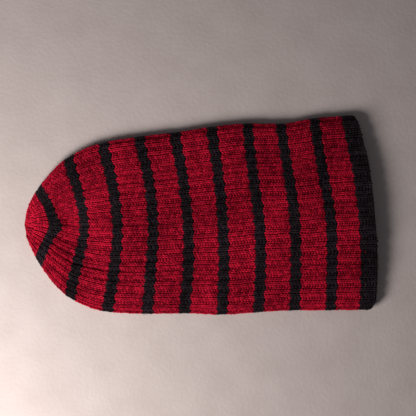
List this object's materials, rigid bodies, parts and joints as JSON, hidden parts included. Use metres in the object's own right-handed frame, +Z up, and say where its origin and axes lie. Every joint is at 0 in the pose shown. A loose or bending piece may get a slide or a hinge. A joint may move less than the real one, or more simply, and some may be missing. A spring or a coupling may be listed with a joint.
{
  "type": "nightcap",
  "caption": "Long knitted wool nightcap in ribbed stitch with narrow stripes and a dark cast-on edge, lying flat.",
  "frame": {"origin": "middle of the cap's length and width, on the surface that its lower layer rests on", "axes": "+X along the cap from the crown towards the mouth, +Y across it towards its far fold, +Z up"},
  "size_m": [0.3522, 0.1984, 0.0158],
  "materials": {
    "red_wool": "matte crimson wool yarn, slightly fuzzy",
    "black_wool": "matte black wool yarn, slightly fuzzy"
  },
  "bodies": {
    "root": {"cast_on_edge": "black_wool", "red_band_1": "red_wool", "black_stripe_1": "black_wool", "red_band_2": "red_wool", "black_stripe_2": "black_wool", "red_band_3": "red_wool", "black_stripe_3": "black_wool", "red_band_4": "red_wool", "black_stripe_4": "black_wool", "red_band_5": "red_wool", "black_stripe_5": "black_wool", "red_band_6": "red_wool", "black_stripe_6": "black_wool", "red_band_7": "red_wool", "black_stripe_7": "black_wool", "red_band_8": "red_wool", "black_stripe_8": "black_wool", "red_band_9": "red_wool", "black_stripe_9": "black_wool", "crown_tip": "red_wool"}
  },
  "joints": []
}
